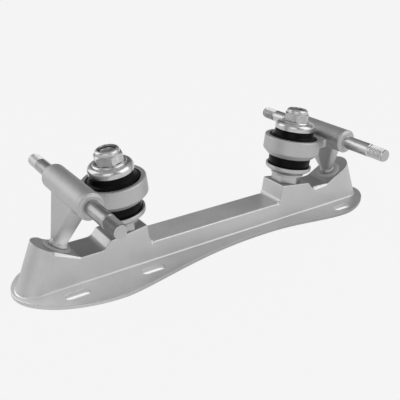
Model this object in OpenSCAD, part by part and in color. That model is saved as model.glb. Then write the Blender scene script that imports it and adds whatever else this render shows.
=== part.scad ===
// Quad roller skate plate with two sprung trucks, drawn sole down and axles up.
// X runs along the plate with the toe at -X, Y runs across it, and Z is up from the sole.
// The origin is on the sole, halfway along the plate.
// Each truck is drawn in its own frame: x = 0 at the axle, +x towards the middle of the plate.

/* [Plate] */
// Distance between the two axles
wheelbase = 175; // [160:1:200]
// Length of sole ahead of the front axle
toe_overhang = 37.5; // [36:0.5:44]
// Length of sole behind the rear axle
heel_overhang = 41; // [37:0.5:48]
// Widest part of the sole, under the ball of the foot
ball_w = 63.6; // [58:0.2:72]
// Narrowest part of the sole, under the arch
waist_w = 34.2; // [30:0.2:44]
// Widest part of the sole under the heel
heel_w = 49.8; // [47:0.2:60]
// Thickness of the sole flange where it meets the spine wall
flange_root_t = 2.6; // [2.4:0.1:4]
// Fall of the flange's top towards its edge, in degrees
flange_fall = 1.5; // [0.5:0.5:3]
// Width of the spine that stands on the sole
spine_w = 20; // [19:0.5:24]
// Height of the spine between the trucks
spine_h = 14.3; // [13:0.1:16]

/* [Pods and kingpin blocks] */
// Height of the valley floor between pod and kingpin block
valley_h = 18; // [16:0.5:19]
// Length of the valley floor
valley_len = 14; // [12:0.5:16]
// Distance from the axle to the foot of the pod's slope
pod_foot = 2; // [1:0.5:4]
// Slope of the pod's top face, in degrees
pod_slope = 27; // [24:0.5:30]
// Reach of the pod past the axle, measured on the sole
pod_reach = 36.2; // [33:0.2:36.4]
// Lean of the pod's end wall, in degrees
pod_lean = 22; // [18:0.5:25]
// Block length on the arch side of the kingpin
block_in = 10.8; // [9:0.2:12]
// Block length on the pod side of the kingpin
block_out = 12; // [11:0.5:13]
// Distance along the kingpin from the axle's height down to the block's top
block_drop = 28; // [27:0.5:30]

/* [Trucks] */
// Height of the axles above the sole
axle_h = 52; // [50:0.5:56]
// Axle diameter
axle_d = 8; // [7:0.5:10]
// Overall length of an axle
axle_len = 110.4; // [104:0.2:124]
// Length of thread at each end of an axle
thread_len = 12; // [9:0.5:13]
// Depth of the thread's turned down diameter below the bearing seat
thread_relief = 0.2; // [0.2:0.05:0.4]
// Diameter of the hanger's barrel
barrel_d = 14.5; // [13:0.5:16]
// Length of the hanger's barrel
barrel_len = 47.6; // [44:0.2:56]
// Diameter of the bearing shoulder at each end of the barrel
shoulder_d = 11; // [10.5:0.5:12]
// Height of the bearing shoulder
shoulder_h = 1.2; // [0.8:0.1:1.6]
// Outer diameter of the cushion ring
ring_d = 36; // [34:0.5:38]
// Height of the cushion ring
ring_h = 12.5; // [11:0.5:14]
// Distance along the kingpin from the axle's height down to the ring's middle
ring_drop = 4.5; // [3:0.5:6]
// Wall of the cushion ring beside the upper cushion
ring_wall = 2.8; // [2:0.2:3.4]
// Thickness of the web in the middle of the ring
ring_web = 4; // [3:0.5:5]
// Bevel round the ring's lower edge
ring_bevel = 3.4; // [2:0.2:4]
// Width of the neck that joins ring and barrel
neck_w = 21; // [16:1:26]
// Thickness of the neck
neck_t = 5; // [3:0.5:7]
// Width of the arm where it leaves the barrel
arm_w = 31; // [26:1:38]
// Diameter of the arm's lower end
arm_end_d = 8.2; // [8:0.2:10]
// Diameter of the pivot pin at the end of the arm
pivot_d = 7.6; // [7:0.2:9]
// Distance from the pod's face down to the middle of the pivot ball
pivot_depth = 4.8; // [4:0.2:6]
// Diameter of the pivot cup's flange
cup_flange_d = 15.6; // [13:0.2:17]
// Steering travel of a truck each way, in degrees
steer_travel = 8; // [4:1:9]

/* [Kingpin and cushions] */
// Distance from the axle to the kingpin, measured at axle height
kingpin_offset = 23.7; // [22.5:0.1:26]
// Lean of the kingpin, in degrees
kingpin_lean = 8; // [6:0.5:10]
// Kingpin diameter
kingpin_d = 9.5; // [8:0.5:10]
// Spanner size of the kingpin's head
kingpin_head_af = 14; // [13:0.5:15]
// Height of the kingpin's head
kingpin_head_h = 5.5; // [4:0.5:6]
// Cushion diameter
cushion_d = 26; // [22:0.5:27]
// Height of the upper cushion
upper_cushion_h = 9.8; // [8:0.2:12]
// Diameter of the upper cushion where it sits in the ring
upper_cushion_foot_d = 28.4; // [26:0.2:29]
// Height of the lower cushion
lower_cushion_h = 12; // [11:0.5:13]
// Rim diameter of the lower cushion's seat
seat_rim_d = 29.4; // [28:0.2:31]
// Depth of the seat that holds a cushion's end
seat_depth = 2; // [1.5:0.5:2.5]
// Spanner size of the seat's hexagon
seat_af = 17; // [16:0.5:19]
// Diameter of the upper retainer
retainer_d = 25; // [22:0.5:27]
// Height of the upper retainer
retainer_h = 5.6; // [4.6:0.2:6.4]
// Depth of the retainer's lip round the upper cushion
retainer_lip = 1.4; // [1:0.1:2]
// Spanner size of the lock nut
nut_af = 14.3; // [13.5:0.1:17]
// Height of the lock nut's hexagon
nut_hex_h = 5; // [4:0.5:6]
// Height of the lock nut's collar
nut_collar_h = 2.5; // [2:0.1:4]
// Diameter of the lock nut's collar
nut_collar_d = 13.4; // [13:0.1:14]

/* [Mounting slots] */
// Distance across the plate between the two rows of slots
slot_gauge = 36.8; // [35:0.2:38]
// Length of a slot, end to end
slot_len = 14; // [10:0.5:16]
// Width of a slot
slot_w = 5; // [4.2:0.1:5.4]
// Distance from the front axle forward to the toe slots
toe_slot_ahead = 8.9; // [6.9:0.1:11.9]
// Distance from the front axle back to the ball slots
ball_slot_behind = 36.2; // [30.2:0.1:42.2]
// Distance from the rear axle back to the heel slots
heel_slot_behind = 8.4; // [2.4:0.1:10.4]

/* [Hidden] */
$fn = 64;
EPS = 0.01;

plate_len = toe_overhang + wheelbase + heel_overhang;
front_x = toe_overhang - plate_len / 2;
rear_x = plate_len / 2 - heel_overhang;

// Clearances
running_gap = 0.05;
soft_gap = 0.3;
pivot_gap = 0.2;

// Rise of the axle's pressed middle over its bearing seats
press_rise = 0.2;

// Sole outline stations, with the fullness of its toe and heel curves
ball_x = front_x + 13.5;
waist_x = front_x + 0.65 * wheelbase;
heel_x = rear_x + 6;
toe_fullness = 2;
heel_fullness = 1.66;
outline_steps = 22;
tip_fall_len = 10;
tip_fall = 3;

// Heights along the kingpin, measured from the axle height
ring_mid = -ring_drop;
ring_top = ring_mid + ring_h / 2;
ring_low = ring_mid - ring_h / 2;
web_top = ring_mid + ring_web / 2;
web_low = ring_mid - ring_web / 2;
web_bore_r = kingpin_d / 2 + ring_web / 2 * tan(steer_travel) + 1.5;
upper_cushion_low = web_top + soft_gap;
retainer_low = upper_cushion_low + upper_cushion_h - retainer_lip;
nut_low = retainer_low + retainer_h;
nut_high = nut_low + nut_hex_h + nut_collar_h;
lower_cushion_high = web_low - soft_gap;
seat_floor = lower_cushion_high - lower_cushion_h;
seat_rim = seat_floor + seat_depth;
block_top = -block_drop;
kingpin_top = nut_high - 1.2;
kingpin_head_rise = 2.5;
kingpin_head_low = -(axle_h - kingpin_head_rise) / cos(kingpin_lean);
kingpin_head_top = kingpin_head_low + kingpin_head_h;

// Pivot: centre of the ball at the end of the arm, in the truck's frame
pod_mouth_x = -pod_foot - 9;
pod_mouth = [pod_mouth_x, valley_h + (-pod_foot - pod_mouth_x) * tan(pod_slope)];
pod_normal = [sin(pod_slope), cos(pod_slope)];
pivot_centre = pod_mouth - pivot_depth * pod_normal;
cup_flange_t = 0.8;
cup_body_d = pivot_d + 4;
cup_depth = pivot_depth + pivot_d / 2 + 2;

// Point in the truck's frame from a distance across and a height along the kingpin
function at_kingpin(across, up) = [
    kingpin_offset - across * cos(kingpin_lean) - up * sin(kingpin_lean),
    axle_h - across * sin(kingpin_lean) + up * cos(kingpin_lean)
];

// Points of an outline with each corner rounded to its own radius
function unit(v) = v / norm(v);
function corner(a, b, c, r, steps = 5) =
    r <= 0 ? [b] :
    let (
        u = unit(a - b),
        v = unit(c - b),
        half = acos(u * v) / 2,
        centre = b + unit(u + v) * r / sin(half),
        from = b + u * r / tan(half) - centre,
        to = b + v * r / tan(half) - centre
    )
    [for (i = [0:steps]) centre + r * unit(from * (1 - i / steps) + to * i / steps)];
function rounded(points, radii) =
    let (n = len(points))
    [for (i = [0:n - 1]) each corner(points[(i + n - 1) % n], points[i], points[(i + 1) % n], radii[i])];

// Half width of the sole at a place along the plate
function ease(t) = (1 - cos(180 * t)) / 2;
function fullness(t, n) = pow(1 - pow(t, n), 1 / n);
function half_width(x) =
    x < ball_x ? ball_w / 2 * fullness((ball_x - x) / (ball_x + plate_len / 2), toe_fullness) :
    x < waist_x ? (ball_w + (waist_w - ball_w) * ease(pow((x - ball_x) / (waist_x - ball_x), 0.71))) / 2 :
    x < heel_x ? (waist_w + (heel_w - waist_w) * ease(pow((x - waist_x) / (heel_x - waist_x), 1.25))) / 2 :
    heel_w / 2 * fullness((x - heel_x) / (plate_len / 2 - heel_x), heel_fullness);
outline_x = concat(
    [for (i = [0:outline_steps]) ball_x - (ball_x + plate_len / 2) * cos(90 * i / outline_steps)],
    [for (i = [1:outline_steps]) ball_x + (heel_x - ball_x) * i / outline_steps],
    [for (i = [1:outline_steps]) heel_x + (plate_len / 2 - heel_x) * sin(90 * i / outline_steps)]
);
outline_last = len(outline_x) - 1;
sole_outline = concat(
    [for (x = outline_x) [x, -half_width(x)]],
    [for (i = [outline_last - 1:-1:1]) [outline_x[i], half_width(outline_x[i])]]
);

// Side view of one end of the spine in the truck's frame, from the arch to the pod's end
block_in_top = at_kingpin(-block_in, block_top);
block_in_drop = (block_in_top[1] - spine_h) / cos(kingpin_lean);
block_in_foot = at_kingpin(-block_in, block_top - block_in_drop);
block_out_top = at_kingpin(block_out, block_top);
pod_far = -pod_reach - 10;
spine_root = 1;
end_profile = [
    block_in_foot, block_in_top, block_out_top, [valley_len - pod_foot, valley_h], [-pod_foot, valley_h],
    [pod_far, valley_h + (-pod_foot - pod_far) * tan(pod_slope)], [pod_far, spine_root]
];
end_radii = [3.2, 0.8, 1.2, 1.2, 3, 0, 0];
spine_profile = concat(
    [for (p = end_profile) [front_x + p[0], p[1]]],
    [for (i = [len(end_profile) - 1:-1:0]) [rear_x - end_profile[i][0], end_profile[i][1]]]
);
spine_radii = concat(end_radii, [for (i = [len(end_radii) - 1:-1:0]) end_radii[i]]);

// Underside pockets
pocket_len = 22;
pocket_gap = 5;
pocket_w = spine_w - 7;
pocket_depth = 8;
pocket_r = 3;
toe_pocket_len = 14;
toe_pocket_depth = 5;

module at_truck(end) {
    if (end == "front") translate([front_x, 0, 0]) children();
    else translate([rear_x, 0, 0]) rotate([0, 0, 180]) children();
}

module on_kingpin(up = 0) {
    translate([kingpin_offset, 0, axle_h]) rotate([0, -kingpin_lean, 0])
        translate([0, 0, up]) children();
}

// Frame at the pivot ball's centre, +Z out of the pod's sloping face
module on_pivot(up = 0) {
    translate([pivot_centre[0], 0, pivot_centre[1]]) rotate([0, pod_slope, 0])
        translate([0, 0, up]) children();
}

module across(w) {
    rotate([90, 0, 0]) linear_extrude(w, center = true) children();
}

module slot_2d(length, width) {
    square([length - width, width], center = true);
    for (side = [-1, 1]) translate([side * (length - width) / 2, 0]) circle(d = width);
}

module rounded_box_2d(length, width, r) {
    square([length - 2 * r, width], center = true);
    square([length, width - 2 * r], center = true);
    for (i = [-1, 1], j = [-1, 1]) translate([i * (length / 2 - r), j * (width / 2 - r)]) circle(r);
}

// Sole flange: the outline, thinned towards its edge and towards both tips
module sole_flange() {
    root_y = spine_w / 2;
    half = plate_len / 2;
    edge_z = flange_root_t - (ball_w / 2 + 1 - root_y) * tan(flange_fall);
    tip_z = flange_root_t - tip_fall_len * tan(tip_fall);
    intersection() {
        linear_extrude(flange_root_t) polygon(sole_outline);
        rotate([90, 0, 90]) linear_extrude(plate_len + 2, center = true) polygon([
            [-ball_w / 2 - 1, 0], [ball_w / 2 + 1, 0], [ball_w / 2 + 1, edge_z],
            [root_y, flange_root_t], [-root_y, flange_root_t], [-ball_w / 2 - 1, edge_z]
        ]);
        across(ball_w + 2) polygon([
            [-half, 0], [half, 0], [half, tip_z], [half - tip_fall_len, flange_root_t],
            [tip_fall_len - half, flange_root_t], [-half, tip_z]
        ]);
    }
}

// Leaning pod end, rounded in plan, run inwards past the whole spine
module pod_end() {
    r = spine_w / 2;
    foot = -pod_reach + r / cos(pod_lean);
    translate([foot, 0, 0]) rotate([0, pod_lean, 0])
        translate([0, 0, -plate_len / 2]) linear_extrude(plate_len) {
            circle(r);
            translate([0, -r]) square([plate_len, 2 * r]);
        }
}

module spine() {
    intersection() {
        across(spine_w + 2) polygon(rounded(spine_profile, spine_radii));
        at_truck("front") pod_end();
        at_truck("rear") pod_end();
    }
}

// Bore, head pocket and cup seat that one truck needs in the plate
module truck_cuts() {
    on_kingpin(block_top - 24) cylinder(r = kingpin_d / 2 + running_gap, h = 30);
    on_kingpin(kingpin_head_top - 20) cylinder(d = kingpin_head_af / cos(30) + 0.6, h = 20, $fn = 6);
    on_pivot(-cup_depth + pivot_depth) cylinder(r = cup_body_d / 2 + running_gap, h = cup_depth + 6);
    on_pivot(pivot_depth) cylinder(r = cup_flange_d / 2 + 0.3, h = 12);
}

module mounting_slots() {
    places = [front_x - toe_slot_ahead, front_x + ball_slot_behind, rear_x + heel_slot_behind];
    for (x = places, side = [-1, 1])
        translate([x, side * slot_gauge / 2, -1])
            linear_extrude(flange_root_t + 4) slot_2d(slot_len, slot_w);
}

module underside_pockets() {
    span = 3 * pocket_len + 2 * pocket_gap;
    middle = (front_x + rear_x) / 2;
    for (i = [0:2])
        translate([middle - span / 2 + pocket_len / 2 + i * (pocket_len + pocket_gap), 0, -1])
            linear_extrude(pocket_depth + 1) rounded_box_2d(pocket_len, pocket_w, pocket_r);
    for (end = ["front", "rear"])
        at_truck(end) translate([-pod_foot - toe_pocket_len, 0, -1])
            linear_extrude(toe_pocket_depth + 1) rounded_box_2d(toe_pocket_len, pocket_w, pocket_r);
}

module base_plate() {
    color("silver") difference() {
        union() {
            sole_flange();
            spine();
        }
        at_truck("front") truck_cuts();
        at_truck("rear") truck_cuts();
        mounting_slots();
        underside_pockets();
    }
}

// Cast hanger: barrel for the axle, ring for the cushions and arm down to the pivot
barrel_chamfer = 0.5;
arm_root_d = 9;
arm_root = [-0.6, -0.8];
arm_ridge_d = 3;
arm_ridge = [4, -5];
arm_end_up = 1.8;
ring_edge = 0.6;
neck_step = 0.4;
neck_angle = 50;

module barrel_solid() {
    half = barrel_len / 2;
    rotate([90, 0, 0]) rotate_extrude() polygon([
        [0, -half - shoulder_h], [shoulder_d / 2, -half - shoulder_h], [shoulder_d / 2, -half],
        [barrel_d / 2 - barrel_chamfer, -half], [barrel_d / 2, -half + barrel_chamfer],
        [barrel_d / 2, half - barrel_chamfer], [barrel_d / 2 - barrel_chamfer, half],
        [shoulder_d / 2, half], [shoulder_d / 2, half + shoulder_h], [0, half + shoulder_h]
    ]);
}

module ring_solid() {
    r = ring_d / 2;
    on_kingpin() rotate_extrude() polygon([
        [0, ring_low], [r - ring_bevel, ring_low], [r, ring_low + ring_bevel],
        [r, ring_top - ring_edge], [r - ring_edge, ring_top], [0, ring_top]
    ]);
}

module neck_solid() {
    r = ring_d / 2 - ring_edge;
    inner = r * cos(neck_angle);
    on_kingpin(ring_top - neck_step - neck_t) linear_extrude(neck_t) polygon([
        [-inner, -r * sin(neck_angle)], [-kingpin_offset + 2, -neck_w / 2],
        [-kingpin_offset + 2, neck_w / 2], [-inner, r * sin(neck_angle)]
    ]);
}

module at_axle(shift) {
    translate([shift[0], 0, axle_h + shift[1]]) rotate([90, 0, 0]) children();
}

module arm_solid() {
    hull() {
        at_axle(arm_root) cylinder(d = arm_root_d, h = arm_w, center = true, $fn = 32);
        at_axle(arm_ridge) cylinder(d = arm_ridge_d, h = arm_ridge_d, center = true, $fn = 32);
        on_pivot(pivot_depth + arm_end_up) cylinder(d = arm_end_d, h = 1, $fn = 32);
    }
    on_pivot() cylinder(d = pivot_d, h = pivot_depth + arm_end_up + 1);
    on_pivot() sphere(d = pivot_d);
}

module hanger() {
    color("silver") difference() {
        union() {
            translate([0, 0, axle_h]) barrel_solid();
            ring_solid();
            neck_solid();
            arm_solid();
        }
        on_kingpin(web_top) cylinder(r = ring_d / 2 - ring_wall, h = 20);
        on_kingpin(web_low - 20) cylinder(r = cushion_d / 2 + soft_gap, h = 20);
        on_kingpin(ring_low - 1) cylinder(r = web_bore_r, h = ring_h + 2);
        at_axle([0, 0]) cylinder(r = axle_d / 2 + press_rise, h = axle_len, center = true);
    }
}

module axle() {
    half = axle_len / 2;
    seat = half - thread_len;
    grip = barrel_len / 2 + shoulder_h;
    seat_r = axle_d / 2;
    press_r = seat_r + press_rise;
    thread_r = seat_r - thread_relief;
    chamfer = 0.8;
    color("gainsboro") translate([0, 0, axle_h]) rotate([90, 0, 0]) rotate_extrude() polygon([
        [0, -half], [thread_r - chamfer, -half], [thread_r, -half + chamfer], [thread_r, -seat],
        [seat_r, -seat + thread_relief], [seat_r, -grip], [press_r, -grip],
        [press_r, grip], [seat_r, grip], [seat_r, seat - thread_relief], [thread_r, seat],
        [thread_r, half - chamfer], [thread_r - chamfer, half], [0, half]
    ]);
}

module pivot_cup() {
    seat_r = pivot_d / 2 + pivot_gap;
    mouth_h = pivot_depth + cup_flange_t + EPS;
    color("darkgray") difference() {
        union() {
            on_pivot(pivot_depth - cup_depth) cylinder(d = cup_body_d, h = cup_depth + EPS);
            on_pivot(pivot_depth) cylinder(d1 = cup_flange_d, d2 = cup_flange_d - 1, h = cup_flange_t);
        }
        on_pivot() sphere(r = seat_r);
        on_pivot() cylinder(r1 = seat_r, r2 = seat_r + mouth_h * tan(steer_travel), h = mouth_h);
    }
}

module kingpin() {
    r = kingpin_d / 2;
    color("lightgray") on_kingpin() {
        rotate_extrude() polygon([
            [0, kingpin_head_top - 1], [r, kingpin_head_top - 1], [r, kingpin_top - 0.8],
            [r - 0.8, kingpin_top], [0, kingpin_top]
        ]);
        translate([0, 0, kingpin_head_low])
            cylinder(d = kingpin_head_af / cos(30), h = kingpin_head_h, $fn = 6);
    }
}

// Hexagonal seat on the block, opening into the dish that holds the lower cushion
seat_rim_t = 2.4;
seat_cone_h = 3.6;
seat_neck_d = seat_af / cos(30) + 1.4;

module kingpin_seat(turn) {
    cone_low = seat_rim - seat_rim_t - seat_cone_h;
    rim_r = seat_rim_d / 2;
    color("silver") on_kingpin() difference() {
        union() {
            rotate([0, 0, turn]) translate([0, 0, block_top])
                cylinder(d = seat_af / cos(30), h = cone_low - block_top, $fn = 6);
            rotate_extrude() polygon(rounded([
                [0, cone_low - 0.6], [seat_neck_d / 2, cone_low - 0.6], [seat_neck_d / 2, cone_low + 0.8],
                [rim_r, seat_rim - seat_rim_t], [rim_r, seat_rim], [0, seat_rim]
            ], [0, 0.4, 1.4, 1.2, 0.5, 0]));
        }
        translate([0, 0, seat_floor]) cylinder(r = cushion_d / 2 + soft_gap, h = seat_depth + 1);
        translate([0, 0, block_top - 1]) cylinder(r = kingpin_d / 2 + running_gap, h = 30);
    }
}

// Soft ring round the kingpin, from its half profile
module cushion(low, profile) {
    height = max([for (p = profile) p[1]]);
    color("dimgray") on_kingpin(low) difference() {
        rotate_extrude() polygon(profile);
        translate([0, 0, -1]) cylinder(r = kingpin_d / 2 + soft_gap, h = height + 2);
    }
}

module lower_cushion() {
    r = cushion_d / 2;
    h = lower_cushion_h;
    cushion(seat_floor, [[0, 0], [r - 1, 0], [r, 1], [r, h - 1], [r - 1, h], [0, h]]);
}

module upper_cushion() {
    foot_r = upper_cushion_foot_d / 2;
    pilot_r = retainer_d / 2 - retainer_wall - soft_gap;
    shoulder = upper_cushion_h - retainer_lip - soft_gap;
    cushion(upper_cushion_low, [
        [0, 0], [foot_r - 1, 0], [foot_r, 1], [foot_r, ring_top - upper_cushion_low],
        [retainer_d / 2 - 0.4, shoulder], [pilot_r, shoulder],
        [pilot_r, upper_cushion_h], [0, upper_cushion_h]
    ]);
}

// Domed washer with a raised seat for the nut and a lip round the cushion
retainer_wall = 1.2;
retainer_dome = 4.9;
retainer_seat_r = nut_af / 2 / cos(30) + 0.5;

module upper_retainer() {
    r = retainer_d / 2;
    color("gainsboro") on_kingpin(retainer_low) difference() {
        rotate_extrude() polygon(rounded([
            [0, 0], [r, 0], [r, retainer_dome], [retainer_seat_r + 1.4, retainer_dome - 0.5],
            [retainer_seat_r, retainer_h], [0, retainer_h]
        ], [0, 0.5, 2.6, 0.8, 0.4, 0]));
        translate([0, 0, -1]) cylinder(r = r - retainer_wall, h = 1 + retainer_lip);
        translate([0, 0, -1]) cylinder(r = kingpin_d / 2 + running_gap, h = retainer_h + 2);
    }
}

nut_wall = 1.1;
nut_crimp = 0.6;
nut_chamfer = 30;
nut_foot = 0.5;
insert_h = nut_collar_h - 0.9;

module lock_nut(turn) {
    corner_r = nut_af / 2 / cos(30);
    past_r = corner_r + 1;
    collar_r = nut_collar_d / 2;
    top = nut_hex_h + nut_collar_h;
    color("gainsboro") on_kingpin(nut_low) difference() {
        union() {
            intersection() {
                rotate([0, 0, turn]) cylinder(r = corner_r, h = nut_hex_h, $fn = 6);
                rotate_extrude() polygon([
                    [0, 0], [nut_af / 2 + nut_foot, 0],
                    [past_r, (past_r - nut_af / 2 - nut_foot) * tan(nut_chamfer)],
                    [past_r, nut_hex_h - (past_r - nut_af / 2) * tan(nut_chamfer)],
                    [nut_af / 2, nut_hex_h], [0, nut_hex_h]
                ]);
            }
            rotate_extrude() polygon(rounded([
                [0, nut_hex_h - 0.5], [collar_r, nut_hex_h - 0.5], [collar_r, top], [0, top]
            ], [0, 0, 1.6, 0]));
        }
        translate([0, 0, -1]) cylinder(r = kingpin_d / 2 + running_gap, h = top + 2);
        translate([0, 0, nut_hex_h]) cylinder(r = collar_r - nut_wall, h = insert_h);
        translate([0, 0, nut_hex_h]) cylinder(r = collar_r - nut_wall - nut_crimp, h = nut_collar_h + 1);
    }
}

module lock_nut_insert() {
    color("dimgray") on_kingpin(nut_low + nut_hex_h) difference() {
        cylinder(r = nut_collar_d / 2 - nut_wall, h = insert_h);
        translate([0, 0, -1]) cylinder(r = kingpin_d / 2 + running_gap, h = nut_collar_h + 2);
    }
}

// Turn of each hexagon about its kingpin, as the threads happened to stop
front_seat_turn = -13;
rear_seat_turn = 28;
front_nut_turn = 17;
rear_nut_turn = -13;

module front_hanger() { at_truck("front") hanger(); }
module front_axle() { at_truck("front") axle(); }
module front_pivot_cup() { at_truck("front") pivot_cup(); }
module front_kingpin() { at_truck("front") kingpin(); }
module front_kingpin_seat() { at_truck("front") kingpin_seat(front_seat_turn); }
module front_lower_cushion() { at_truck("front") lower_cushion(); }
module front_upper_cushion() { at_truck("front") upper_cushion(); }
module front_upper_retainer() { at_truck("front") upper_retainer(); }
module front_lock_nut() { at_truck("front") lock_nut(front_nut_turn); }
module front_lock_nut_insert() { at_truck("front") lock_nut_insert(); }
module rear_hanger() { at_truck("rear") hanger(); }
module rear_axle() { at_truck("rear") axle(); }
module rear_pivot_cup() { at_truck("rear") pivot_cup(); }
module rear_kingpin() { at_truck("rear") kingpin(); }
module rear_kingpin_seat() { at_truck("rear") kingpin_seat(rear_seat_turn); }
module rear_lower_cushion() { at_truck("rear") lower_cushion(); }
module rear_upper_cushion() { at_truck("rear") upper_cushion(); }
module rear_upper_retainer() { at_truck("rear") upper_retainer(); }
module rear_lock_nut() { at_truck("rear") lock_nut(rear_nut_turn); }
module rear_lock_nut_insert() { at_truck("rear") lock_nut_insert(); }

base_plate();
front_hanger();
front_axle();
front_pivot_cup();
front_kingpin();
front_kingpin_seat();
front_lower_cushion();
front_upper_cushion();
front_upper_retainer();
front_lock_nut();
front_lock_nut_insert();
rear_hanger();
rear_axle();
rear_pivot_cup();
rear_kingpin();
rear_kingpin_seat();
rear_lower_cushion();
rear_upper_cushion();
rear_upper_retainer();
rear_lock_nut();
rear_lock_nut_insert();
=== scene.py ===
import math

import bmesh
import bpy
from mathutils import Matrix, Vector


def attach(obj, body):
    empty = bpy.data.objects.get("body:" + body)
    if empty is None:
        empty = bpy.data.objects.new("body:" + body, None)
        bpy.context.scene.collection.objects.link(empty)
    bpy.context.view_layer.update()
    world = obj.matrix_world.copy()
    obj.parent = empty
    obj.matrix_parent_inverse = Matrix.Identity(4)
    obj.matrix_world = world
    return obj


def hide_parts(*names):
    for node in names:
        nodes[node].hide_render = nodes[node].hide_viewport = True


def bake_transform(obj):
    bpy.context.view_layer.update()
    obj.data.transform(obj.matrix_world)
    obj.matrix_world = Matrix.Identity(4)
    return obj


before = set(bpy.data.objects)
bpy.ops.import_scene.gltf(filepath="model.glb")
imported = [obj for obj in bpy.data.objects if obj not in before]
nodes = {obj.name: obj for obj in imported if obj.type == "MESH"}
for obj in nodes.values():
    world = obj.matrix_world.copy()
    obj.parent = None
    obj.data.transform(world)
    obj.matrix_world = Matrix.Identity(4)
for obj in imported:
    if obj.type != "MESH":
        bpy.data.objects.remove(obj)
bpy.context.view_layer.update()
mm = 0.001
fullTurn = 2 * math.pi
weldDistance = 0.002 * mm
cutDistance = 0.001 * mm
flatAngle = math.radians(0.4)   # faces that meet at less are one flat face
ends = ("front", "rear")
bothSides = (1, -1)
print("frame: loaded", len(nodes), "nodes")

# Places of the trucks in the frame, in millimetres and degrees
truck = {
    "frontX": -89.25, "rearX": 85.75, "axleHeight": 52.0,
    "kingpinOffset": 23.7, "kingpinLean": 8.0,
    "pivotX": -13.179, "pivotZ": 18.309, "podSlope": 27.0,
}


def moved(x=0.0, y=0.0, z=0.0):
    return Matrix.Translation((x * mm, y * mm, z * mm))


def turned(degrees, axis):
    return Matrix.Rotation(math.radians(degrees), 4, axis)


def truckPlace(end):
    # x runs from the axle towards the middle of the plate
    if end == "front":
        return moved(truck["frontX"])
    return moved(truck["rearX"]) @ turned(180, "Z")


def axlePlace(end, side):
    # z runs out along the axle, to one side or the other
    middle = truckPlace(end) @ moved(0, 0, truck["axleHeight"])
    return middle @ turned(90, "X") @ turned(0 if side > 0 else 180, "X")


def kingpinPlace(end, up):
    foot = moved(truck["kingpinOffset"], 0, truck["axleHeight"])
    return truckPlace(end) @ foot @ turned(-truck["kingpinLean"], "Y") @ moved(0, 0, up)


def pivotPlace(end):
    ball = moved(truck["pivotX"], 0, truck["pivotZ"])
    return truckPlace(end) @ ball @ turned(truck["podSlope"], "Y")


# Camera, floor and light

photo = {
    "cameraPlace": (-0.194184, -0.274242, 0.177923),
    "cameraTurn": (65.4087, -0.1178, -33.8903),
    "lens": 54.63, "sensor": 36.0, "clipStart": 0.01, "clipEnd": 50.0,
}
studio = {
    "backdrop": 0.918, "floorKept": 0.97, "floorGrey": 0.80, "floorSize": 12.0,
    "sky": ((0.0, 0.80), (0.25, 0.38), (0.5, 0.38), (0.85, 0.52)),   # height and grey, from the horizon up
    "flag": 0.16, "flagFrom": (0.48, 0.75, 0.46), "flagEdge": (0.90, 0.985),
    "aim": (0, 0, 0.035),
}
softboxes = {   # direction from the object, distance in metres, size in metres, power in watts
    "keySoftbox": ((0.55, -0.62, 0.56), 1.0, 1.00, 4.6),
    "sideSoftbox": ((-0.60, 0.66, 0.45), 1.1, 0.80, 2.6),
    "fillSoftbox": ((-0.70, -0.62, 0.50), 1.2, 0.80, 2.2),
}
mixSocket = {"factor": 0, "first": 6, "second": 7, "result": 2}   # of a Mix node set to colour


def grey(level):
    return (level,) * 3 + (1,)


def addNode(tree, kind, **settings):
    node = tree.nodes.new(kind)
    for key, value in settings.items():
        setattr(node, key, value)
    return node


def makeCamera():
    data = bpy.data.cameras.new("photoCamera")
    data.lens = photo["lens"]
    data.sensor_width = photo["sensor"]
    data.clip_start = photo["clipStart"]
    data.clip_end = photo["clipEnd"]
    camera = bpy.data.objects.new("photoCamera", data)
    camera.location = photo["cameraPlace"]
    camera.rotation_euler = [math.radians(a) for a in photo["cameraTurn"]]
    bpy.context.scene.collection.objects.link(camera)
    bpy.context.scene.camera = camera


def seenDirectly(tree):
    # 1 where the camera sees the surface itself, in a reflection or through glass
    path = addNode(tree, "ShaderNodeLightPath")
    first = addNode(tree, "ShaderNodeMath", operation="MAXIMUM")
    second = addNode(tree, "ShaderNodeMath", operation="MAXIMUM")
    tree.links.new(path.outputs["Is Camera Ray"], first.inputs[0])
    tree.links.new(path.outputs["Is Glossy Ray"], first.inputs[1])
    tree.links.new(first.outputs[0], second.inputs[0])
    tree.links.new(path.outputs["Is Transmission Ray"], second.inputs[1])
    return second.outputs[0]


def makeFloor():
    mesh = bpy.data.meshes.new("studioFloor")
    bm = bmesh.new()
    bmesh.ops.create_grid(bm, x_segments=1, y_segments=1, size=studio["floorSize"] / 2)
    bm.to_mesh(mesh)
    bm.free()
    floor = bpy.data.objects.new("studioFloor", mesh)
    bpy.context.scene.collection.objects.link(floor)
    material = bpy.data.materials.new("paperFloor")
    material.use_nodes = True
    material.cycles.emission_sampling = "NONE"
    tree = material.node_tree
    tree.nodes.clear()
    paper = addNode(tree, "ShaderNodeBsdfDiffuse")
    paper.inputs["Color"].default_value = grey(studio["floorGrey"])
    glow = addNode(tree, "ShaderNodeEmission")
    glow.inputs["Color"].default_value = grey(studio["backdrop"])
    kept = addNode(tree, "ShaderNodeMath", operation="MULTIPLY")
    kept.inputs[1].default_value = studio["floorKept"]
    mixed = addNode(tree, "ShaderNodeMixShader")
    output = addNode(tree, "ShaderNodeOutputMaterial")
    tree.links.new(seenDirectly(tree), kept.inputs[0])
    tree.links.new(kept.outputs[0], mixed.inputs[0])
    tree.links.new(paper.outputs[0], mixed.inputs[1])
    tree.links.new(glow.outputs[0], mixed.inputs[2])
    tree.links.new(mixed.outputs[0], output.inputs["Surface"])
    mesh.materials.append(material)


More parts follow.
